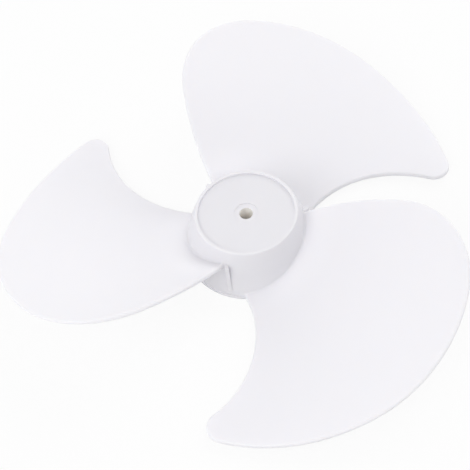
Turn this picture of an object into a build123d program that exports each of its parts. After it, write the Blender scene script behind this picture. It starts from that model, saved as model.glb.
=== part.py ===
"""Fan impeller with three twisted blades round a hub cup, moulded in one piece of white plastic.

Millimetres and degrees. The origin is on the shaft axis, on the round seat in the front face
where the fixing nut bears. +Z points to the front of the fan, the side the air leaves.
"""
import os
from math import cos, radians, sin, sqrt, tan

from build123d import *

# Whole fan
BLADE_COUNT = 3
FIRST_BLADE_ANGLE = 60.0
TIP_RADIUS = 150.0

# Shaft bore, nut seat, and the boss with its slot for the cross pin of the shaft
BORE_DIAMETER = 8.1
SEAT_DIAMETER = 14.8
SEAT_DEPTH = 0.5
BOSS_DIAMETER = 20.0
BOSS_LENGTH = 24.0
PIN_SLOT_WIDTH = 4.6
PIN_SLOT_DEPTH = 6.5

# Hub cup: a flaring wall with a little bulge, and a front face sunk inside a rim
HUB_FRONT_DIAMETER = 61.5
HUB_REAR_DIAMETER = 78.6
HUB_HEIGHT = 34.5
HUB_BULGE_DEPTH = 1.4
HUB_WALL = 2.4
RIM_WIDTH = 1.7
FACE_DEPTH = 1.4
FACE_THICKNESS = 2.6
RIM_ROUND = 0.7
REAR_BAND_HEIGHT = 2.2
REAR_BAND_STEP = 0.4

# Stiffening ribs inside the cup, from the boss to the wall
RIB_COUNT = 6
RIB_THICKNESS = 1.6
RIB_DEPTH = 12.0

# Blade outline seen from the front, with the axis of the blade along X
TIP_ARC_RADIUS = 88.3
SHOULDER_ANGLE = 66.5
RIM_TURN_ANGLE = -16.0
SHOULDER_ROUND = 53.0
HORN_RADIUS = 132.8
HORN_ANGLE = -53.7
HORN_ROUND = 9.4
TRAILING_ROOT_INSET = 0.2
TRAILING_ROOT_ANGLE = 59.9
TRAILING_BULGE = 7.4
LEADING_ROOT_INSET = 3.7
LEADING_ROOT_ANGLE = -46.1
LEADING_HOLLOW = 21.9

# Blade sections across its axis: height of the axis above the rear plane, pitch, camber, thickness
ROOT_STATION = 16.4
ROOT_HEIGHT = 9.3
ROOT_PITCH_ANGLE = 22.5
ROOT_CAMBER_RADIUS = 120.0
ROOT_THICKNESS = 3.4
MID_HEIGHT = 18.8
MID_PITCH_ANGLE = 19.3
MID_CAMBER_RADIUS = 233.0
MID_THICKNESS = 2.6
TIP_HEIGHT = 29.7
TIP_PITCH_ANGLE = 19.9
TIP_CAMBER_RADIUS = 346.0
TIP_THICKNESS = 2.0
EDGE_ROUND = 1.1
ROOT_FILLET = 1.2

# Web down the hub wall under the root of each trailing edge: how far it stands out, and its foot
WEB_THICKNESS = 2.2
WEB_HEAD = 3.7
WEB_TOE = 0.8
WEB_FOOT_HEIGHT = 7.0

# Levels along the shaft axis, and how far the raw forms run past what trims them
FACE_Z = SEAT_DEPTH
RIM_Z = FACE_Z + FACE_DEPTH
REAR_Z = RIM_Z - HUB_HEIGHT
PLATE_Z = FACE_Z - FACE_THICKNESS
OVERRUN = HUB_HEIGHT / 4

# Plane through the shaft axis, in the gap between two blade roots
GAP_ANGLE = FIRST_BLADE_ANGLE + (TRAILING_ROOT_ANGLE + LEADING_ROOT_ANGLE + 360 / BLADE_COUNT) / 2
HALF_SECTION = Plane.XZ.rotated((0, 0, GAP_ANGLE))


def polar(radius, angle):
    """Point at a radius and an angle about the shaft axis."""
    return Vector(radius * cos(radians(angle)), radius * sin(radians(angle)))


def hub_radius(level):
    """Outer radius of the hub wall, a shallow parabola, at a level."""
    share = (RIM_Z - level) / HUB_HEIGHT
    flare = (HUB_REAR_DIAMETER - HUB_FRONT_DIAMETER) / 2
    return HUB_FRONT_DIAMETER / 2 + flare * share + 4 * HUB_BULGE_DEPTH * share * (1 - share)


def rise(across, height, pitch, camber_radius):
    """Level of a blade section at a distance across the axis of the blade."""
    return REAR_Z + height + tan(radians(pitch)) * across + across ** 2 / (2 * camber_radius)


def hub_section(top, inset):
    """Half section of the hub below a level, out to its wall less an inset, past the rear plane."""
    bottom = REAR_Z - OVERRUN
    middle = (top + bottom) / 2
    upper = (hub_radius(top) - inset, top)
    lower = (hub_radius(bottom) - inset, bottom)
    control = (2 * hub_radius(middle) - (hub_radius(top) + hub_radius(bottom)) / 2 - inset, middle)
    with BuildSketch(HALF_SECTION) as section:
        with BuildLine():
            Bezier(upper, control, lower)
            Polyline(lower, (0, bottom), (0, top), upper)
        make_face()
    return section.sketch


def blade_section(station, thickness, *shape):
    """Thin cambered section across the blade, wider than the outline that trims it."""
    _, _, camber_radius = shape
    with BuildSketch(Plane.YZ.offset(station)) as section:
        with BuildLine():
            for lift in (thickness / 2, -thickness / 2):
                leading = (-TIP_RADIUS, rise(-TIP_RADIUS, *shape) + lift)
                control = (0, rise(0, *shape) - TIP_RADIUS ** 2 / (2 * camber_radius) + lift)
                trailing = (TIP_RADIUS, rise(TIP_RADIUS, *shape) + lift)
                Bezier(leading, control, trailing)
                Line(trailing, (TIP_RADIUS, rise(TIP_RADIUS, *shape)))
                Line(leading, (-TIP_RADIUS, rise(-TIP_RADIUS, *shape)))
        make_face()
    return section.sketch


# Hollow of the cup, less the boss and the ribs that stand in it
with BuildPart() as hollow:
    add(hub_section(PLATE_Z, HUB_WALL))
    revolve(axis=Axis.Z)
    with BuildSketch(Plane.XY.offset(PLATE_Z)):
        Circle(BOSS_DIAMETER / 2)
    extrude(amount=-BOSS_LENGTH, mode=Mode.SUBTRACT)
    with BuildSketch(Plane.XY.offset(PLATE_Z)):
        with PolarLocations(0, RIB_COUNT):
            Rectangle(HUB_REAR_DIAMETER, RIB_THICKNESS, align=(Align.MIN, Align.CENTER))
    extrude(amount=-RIB_DEPTH, mode=Mode.SUBTRACT)

# One blade along X: a lofted sheet trimmed to the outline, with its front edges rounded
tip_station = TIP_RADIUS + TIP_THICKNESS
mid_station = (ROOT_STATION + tip_station) / 2
tip_centre = Vector(TIP_RADIUS - TIP_ARC_RADIUS, 0)
shoulder = tip_centre + polar(TIP_ARC_RADIUS, SHOULDER_ANGLE)
rim_turn = tip_centre + polar(TIP_ARC_RADIUS, RIM_TURN_ANGLE)
horn = polar(HORN_RADIUS, HORN_ANGLE)
trailing_root = polar(HUB_FRONT_DIAMETER / 2 - TRAILING_ROOT_INSET, TRAILING_ROOT_ANGLE)
leading_root = polar(HUB_REAR_DIAMETER / 2 - LEADING_ROOT_INSET, LEADING_ROOT_ANGLE)
with BuildPart() as blade:
    add(blade_section(ROOT_STATION, ROOT_THICKNESS, ROOT_HEIGHT, ROOT_PITCH_ANGLE, ROOT_CAMBER_RADIUS))
    add(blade_section(mid_station, MID_THICKNESS, MID_HEIGHT, MID_PITCH_ANGLE, MID_CAMBER_RADIUS))
    add(blade_section(tip_station, TIP_THICKNESS, TIP_HEIGHT, TIP_PITCH_ANGLE, TIP_CAMBER_RADIUS))
    loft()
    with BuildSketch() as outline:
        with BuildLine():
            SagittaArc(trailing_root, shoulder, TRAILING_BULGE)
            tip_arc = ThreePointArc(shoulder, (TIP_RADIUS, 0), rim_turn)
            TangentArc(rim_turn, horn, tangent=tip_arc % 1)
            SagittaArc(horn, leading_root, -LEADING_HOLLOW)
            Polyline(leading_root, (0, 0), trailing_root)
        make_face()
        fillet(outline.vertices().sort_by_distance(shoulder)[0], SHOULDER_ROUND)
        fillet(outline.vertices().sort_by_distance(horn)[0], HORN_ROUND)
    extrude(amount=TIP_RADIUS, both=True, mode=Mode.INTERSECT)
    front = blade.faces().sort_by(SortBy.AREA)[-2:].sort_by(Axis.Z)[-1]
    rims = front.edges().filter_by(lambda edge: edge.center().length > HUB_REAR_DIAMETER / 2)
    fillet(rims, EDGE_ROUND)

# Web in the plane of the root section, from the trailing edge down the wall to its foot
web_top = rise(HUB_FRONT_DIAMETER / 2, ROOT_HEIGHT, ROOT_PITCH_ANGLE, ROOT_CAMBER_RADIUS)
web_foot = REAR_Z + WEB_FOOT_HEIGHT
with BuildPart() as web:
    with BuildSketch(Plane.YZ.offset(ROOT_STATION)):
        with BuildLine():
            head = (sqrt(hub_radius(web_top) ** 2 - ROOT_STATION ** 2) + WEB_HEAD, web_top)
            toe = (sqrt(hub_radius(web_foot) ** 2 - ROOT_STATION ** 2) + WEB_TOE, web_foot)
            Polyline((0, web_top), head, toe, (0, web_foot), close=True)
        make_face()
    extrude(amount=WEB_THICKNESS / 2, both=True)

# The moulding: hub, blades blended into its wall, webs, rear band, then the hollow and the bore
with BuildPart() as fan_blade:
    add(hub_section(RIM_Z, 0))
    revolve(axis=Axis.Z)
    with BuildSketch(Plane.XY.offset(RIM_Z)):
        Circle(HUB_FRONT_DIAMETER / 2 - RIM_WIDTH)
    extrude(amount=-FACE_DEPTH, mode=Mode.SUBTRACT)
    fillet(fan_blade.edges().group_by(Axis.Z)[-1].sort_by(SortBy.LENGTH)[-1], RIM_ROUND)
    with PolarLocations(0, BLADE_COUNT, start_angle=FIRST_BLADE_ANGLE):
        add(blade.part)
    wall = fan_blade.faces().filter_by(GeomType.REVOLUTION).sort_by(SortBy.AREA)[-1]
    fillet(wall.inner_wires().edges(), ROOT_FILLET)
    with PolarLocations(0, BLADE_COUNT, start_angle=FIRST_BLADE_ANGLE):
        add(web.part)
    with BuildSketch(Plane.XY.offset(REAR_Z)):
        Circle(HUB_REAR_DIAMETER / 2 + REAR_BAND_STEP)
    extrude(amount=REAR_BAND_HEIGHT)
    add(hollow.part, mode=Mode.SUBTRACT)
    split(bisect_by=Plane.XY.offset(REAR_Z), keep=Keep.TOP)
    with Locations((0, 0, FACE_Z)):
        CounterBoreHole(BORE_DIAMETER / 2, SEAT_DIAMETER / 2, SEAT_DEPTH)
    with BuildSketch(Plane.XY.offset(PLATE_Z - BOSS_LENGTH)):
        Rectangle(BOSS_DIAMETER, PIN_SLOT_WIDTH)
    extrude(amount=PIN_SLOT_DEPTH, mode=Mode.SUBTRACT)

os.makedirs("parts", exist_ok=True)
fan_blade.part.label = "fan_blade"
export_step(fan_blade.part, "parts/fan_blade.step")
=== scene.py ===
"""A white plastic fan impeller lying on a pale studio floor, front side up.

Metres. The frame is the impeller's own: the origin on the shaft axis at the nut seat, +Z to the front.
"""
from math import cos, radians, sin

import bpy
from mathutils import Matrix, Vector


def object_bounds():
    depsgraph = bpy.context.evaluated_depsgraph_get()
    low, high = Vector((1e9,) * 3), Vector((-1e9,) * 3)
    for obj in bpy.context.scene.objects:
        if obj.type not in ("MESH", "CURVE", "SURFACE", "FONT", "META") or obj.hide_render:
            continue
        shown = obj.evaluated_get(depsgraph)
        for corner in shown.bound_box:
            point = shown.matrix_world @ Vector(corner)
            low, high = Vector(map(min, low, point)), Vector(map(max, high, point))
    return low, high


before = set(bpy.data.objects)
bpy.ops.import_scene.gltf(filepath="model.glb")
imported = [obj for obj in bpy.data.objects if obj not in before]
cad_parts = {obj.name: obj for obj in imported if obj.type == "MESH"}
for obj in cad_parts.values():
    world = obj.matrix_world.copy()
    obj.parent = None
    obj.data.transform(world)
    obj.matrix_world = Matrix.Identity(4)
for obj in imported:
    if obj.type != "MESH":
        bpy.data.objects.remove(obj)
cad_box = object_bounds()

# The photograph: its side and focal length in pixels, and where it shows the shaft axis at HUB_LEVEL
PHOTO_SIDE = 470
FOCAL_PIXELS = 1246.8
HUB_PIXEL = (245.894, 212.182)
HUB_LEVEL = 0.0013
METRES_PER_PIXEL = 0.00059413

# How its camera stood to the impeller, in degrees, and the width of a sensor in millimetres
CAMERA_ELEVATION = 54.854
CAMERA_ROLL = -8.528
CAMERA_TURN = -0.56
SENSOR_WIDTH = 36.0

# Floor just under the rear rim, and the share of it that is plain white in sight
FLOOR_GAP = 0.0004
FLOOR_SIDE = 6.0
FLOOR_WHITE = (0.9, 0.9, 0.9)
FLOOR_GLOW = 0.9

# Even sky, and soft boxes: name, bearing from +X about +Z and elevation in degrees, power in watts
SKY_WHITE = (1.0, 1.0, 1.0)
SKY_STRENGTH = 0.591
LAMP_FAR = 1.5
LAMP_SIZE = 1.0
LAMPS = (
    ("left_lamp", 180, 15, 1.6),
    ("back_lamp", 90, 15, 2.3),
    ("right_lamp", 0, 15, 1.8),
    ("front_left_lamp", 225, 42, 7.8),
    ("back_right_lamp", 45, 42, 5.4),
)

# White plastic by distance from the shaft axis, with painted shade and light: painted shade makes the hub
# greyest and the blade roots a little grey, and painted light makes the root fillets as pale as the blades
# far out
HUB_PAINTED_SHADE = (0.823, 0.814, 0.848)
FILLET_PAINTED_LIGHT = (0.888, 0.878, 0.914)
ROOT_PAINTED_SHADE = (0.868, 0.858, 0.894)
BLADE_WHITE = (0.888, 0.877, 0.914)
PAINTED_LIGHT_WHITES = (
    (0.036, HUB_PAINTED_SHADE),
    (0.041, FILLET_PAINTED_LIGHT),
    (0.045, FILLET_PAINTED_LIGHT),
    (0.057, ROOT_PAINTED_SHADE),
    (0.065, ROOT_PAINTED_SHADE),
    (0.108, BLADE_WHITE),
)
TIP_REACH = 0.15

# Wall of the bore below the nut seat, painted pale and warm: painted light that stands in for light
# scattered into the bore through the plastic
BORE_PAINTED_LIGHT = (1.0, 0.965, 0.92)
BORE_REACH = 0.0042
BORE_TOP = 0.0

# Skin of the plastic: cloudy gloss, a fine orange peel, and light that scatters a little way in
GLOSS_ROUGHNESS = 0.34
CLOUD_ROUGHNESS = 0.1
CLOUD_SCALE = 28.0
CLOUD_DETAIL = 3.0
PEEL_SCALE = 700.0
PEEL_DETAIL = 2.0
PEEL_STRENGTH = 0.04
PEEL_HEIGHT = 0.0002
PLASTIC_IOR = 1.49
SCATTER_SHARE = 0.5
SCATTER_TINT = (1.0, 0.95, 0.9)
SCATTER_DEPTH = 0.003

# Sockets of a Mix node that blends two colours, and the part of a place that is seen in plan
MIX_FACTOR = 0
MIX_FIRST = 6
MIX_SECOND = 7
MIX_RESULT = 2
IN_PLAN = (1, 1, 0)


class Field:
    """A value over a surface: a shader socket whose arithmetic adds Math nodes."""

    def __init__(self, tree, socket=None):
        self.tree = tree
        self.socket = socket

    def make(self, kind, settings, inputs, output=0):
        """Adds a node of a kind: its settings first, then the values or links of its sockets."""
        node = self.tree.nodes.new(kind)
        for name, value in settings.items():
            if name == "stops":
                ramp = node.color_ramp.elements
                while len(ramp) < len(value):
                    ramp.new(0.5)
                for stop, (position, colour) in zip(ramp, value):
                    stop.position = position
                    stop.color = colour
            else:
                setattr(node, name, value)
        for name, value in inputs.items():
            if isinstance(value, Field):
                self.tree.links.new(value.socket, node.inputs[name])
            else:
                node.inputs[name].default_value = value
        return Field(self.tree, node.outputs[output] if node.outputs else None)

    def math(self, operation, *values):
        """Adds a Math node."""
        return self.make("ShaderNodeMath", {"operation": operation}, dict(enumerate(values)))

    def __add__(self, other):
        return self.math("ADD", self, other)

    def __mul__(self, other):
        return self.math("MULTIPLY", self, other)

    __radd__ = __add__
    __rmul__ = __mul__


def new_material(name):
    """An empty node material, and a Field to add its nodes with."""
    material = bpy.data.materials.new(name)
    material.use_nodes = True
    material.node_tree.nodes.clear()
    return material, Field(material.node_tree)


def noise(place, scale, detail):
    """Soft grain over a place."""
    return place.make("ShaderNodeTexNoise", {}, {"Vector": place, "Scale": scale, "Detail": detail})


def white_plastic():
    """Semi-gloss white moulding with a little orange peel, with painted shade greying the hub and blade
    roots and painted light paling the root fillets and the bore.
    """
    material, plastic = new_material("white_plastic")
    place = plastic.make("ShaderNodeTexCoord", {}, {}, "Object")
    across = plastic.make("ShaderNodeVectorMath", {"operation": "MULTIPLY"}, {0: place, 1: IN_PLAN})
    reach = plastic.make("ShaderNodeVectorMath", {"operation": "LENGTH"}, {0: across}, "Value")
    level = plastic.make("ShaderNodeSeparateXYZ", {}, {0: place}, "Z")
    # Painted shade and light by distance from the axis: grey on the hub and blade roots, pale in the root
    # fillets
    stops = [(radius / TIP_REACH, (*white, 1)) for radius, white in PAINTED_LIGHT_WHITES]
    white = plastic.make("ShaderNodeValToRGB", {"stops": stops}, {0: reach * (1 / TIP_REACH)})
    # Painted light: the bore's wall below the nut seat is painted paler and warmer than the plastic around
    # it
    painted_bore_light = plastic.math("LESS_THAN", reach, BORE_REACH) * plastic.math("LESS_THAN", level, BORE_TOP)
    blend = {MIX_FACTOR: painted_bore_light, MIX_FIRST: white, MIX_SECOND: (*BORE_PAINTED_LIGHT, 1)}
    cloud = noise(place, CLOUD_SCALE, CLOUD_DETAIL)
    peel = noise(place, PEEL_SCALE, PEEL_DETAIL)
    bumps = {"Height": peel, "Strength": PEEL_STRENGTH, "Distance": PEEL_HEIGHT}
    surface = plastic.make(
        "ShaderNodeBsdfPrincipled",
        {},
        {
            "Base Color": plastic.make("ShaderNodeMix", {"data_type": "RGBA"}, blend, MIX_RESULT),
            "Roughness": GLOSS_ROUGHNESS + CLOUD_ROUGHNESS * cloud,
            "Normal": plastic.make("ShaderNodeBump", {}, bumps),
            "IOR": PLASTIC_IOR,
            "Subsurface Weight": SCATTER_SHARE,
            "Subsurface Radius": SCATTER_TINT,
            "Subsurface Scale": SCATTER_DEPTH,
        },
    )
    plastic.make("ShaderNodeOutputMaterial", {}, {"Surface": surface})
    return material


def in_sight(field):
    """1 for rays that show in the picture, straight, reflected or through glass, and 0 for the rest."""
    kinds = ("Is Camera Ray", "Is Glossy Ray", "Is Transmission Ray")
    camera, glossy, through = (field.make("ShaderNodeLightPath", {}, {}, kind) for kind in kinds)
    return field.math("MAXIMUM", camera, field.math("MAXIMUM", glossy, through))


def studio_white():
    """Matt floor that is nearly plain white in sight and keeps a faint shadow."""
    material, white = new_material("studio_white")
    matt = white.make("ShaderNodeBsdfDiffuse", {}, {"Color": (*FLOOR_WHITE, 1)})
    glow = white.make("ShaderNodeEmission", {}, {"Color": (*SKY_WHITE, 1), "Strength": 1.0})
    shown = FLOOR_GLOW * in_sight(white)
    surface = white.make("ShaderNodeMixShader", {}, {0: shown, 1: matt, 2: glow})
    white.make("ShaderNodeOutputMaterial", {}, {"Surface": surface})
    return material


def lay_floor():
    """A wide plain floor just under the hub's rear rim."""
    low, _ = cad_box
    bpy.ops.mesh.primitive_plane_add(size=FLOOR_SIDE, location=(0, 0, low.z - FLOOR_GAP))
    floor = bpy.context.object
    floor.name = "studio_floor"
    floor.data.materials.append(studio_white())


def light_sky():
    """Even light from all round, and plain white in sight."""
    world = bpy.data.worlds.new("studio_sky")
    bpy.context.scene.world = world
    world.use_nodes = True
    world.node_tree.nodes.clear()
    sky = Field(world.node_tree)
    strength = SKY_STRENGTH + (1 - SKY_STRENGTH) * in_sight(sky)
    light = sky.make("ShaderNodeBackground", {}, {"Color": (*SKY_WHITE, 1), "Strength": strength})
    sky.make("ShaderNodeOutputWorld", {}, {"Surface": light})


def hang_lamp(name, bearing, elevation, power):
    """A square soft box that faces the hub."""
    lamp = bpy.data.lights.new(name, "AREA")
    lamp.size = LAMP_SIZE
    lamp.energy = power
    holder = bpy.data.objects.new(name, lamp)
    bpy.context.collection.objects.link(holder)
    turn, rise = radians(bearing), radians(elevation)
    away = Vector((cos(rise) * cos(turn), cos(rise) * sin(turn), sin(rise)))
    holder.location = LAMP_FAR * away
    holder.rotation_euler = away.to_track_quat("Z", "Y").to_euler()


def set_camera():
    """Camera where the photograph was taken from, at the photograph's angle of view."""
    rise, turn = radians(CAMERA_ELEVATION), radians(CAMERA_ROLL)
    level_right = Vector((1, 0, 0))
    level_down = Vector((0, -sin(rise), -cos(rise)))
    deep = Vector((0, cos(rise), -sin(rise)))
    right = cos(turn) * level_right - sin(turn) * level_down
    down = sin(turn) * level_right + cos(turn) * level_down
    off_right, off_down = (pixel - PHOTO_SIDE / 2 for pixel in HUB_PIXEL)
    place = -(off_right * right + off_down * down + FOCAL_PIXELS * deep) * METRES_PER_PIXEL
    place += Vector((0, 0, HUB_LEVEL))
    axes = Matrix((right, -down, -deep)).transposed().to_4x4()
    axes.translation = place
    lens = bpy.data.cameras.new("photo_camera")
    lens.sensor_width = SENSOR_WIDTH
    lens.lens = FOCAL_PIXELS / PHOTO_SIDE * SENSOR_WIDTH
    camera = bpy.data.objects.new("photo_camera", lens)
    bpy.context.collection.objects.link(camera)
    camera.matrix_world = Matrix.Rotation(radians(CAMERA_TURN), 4, "Z") @ axes
    bpy.context.scene.camera = camera


def dress_impeller():
    """Puts the plastic on the moulding."""
    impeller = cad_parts["fan_blade"]
    impeller.data.materials.clear()
    impeller.data.materials.append(white_plastic())


dress_impeller()
lay_floor()
light_sky()
for lamp in LAMPS:
    hang_lamp(*lamp)
set_camera()
bpy.context.scene.view_settings.view_transform = "Standard"
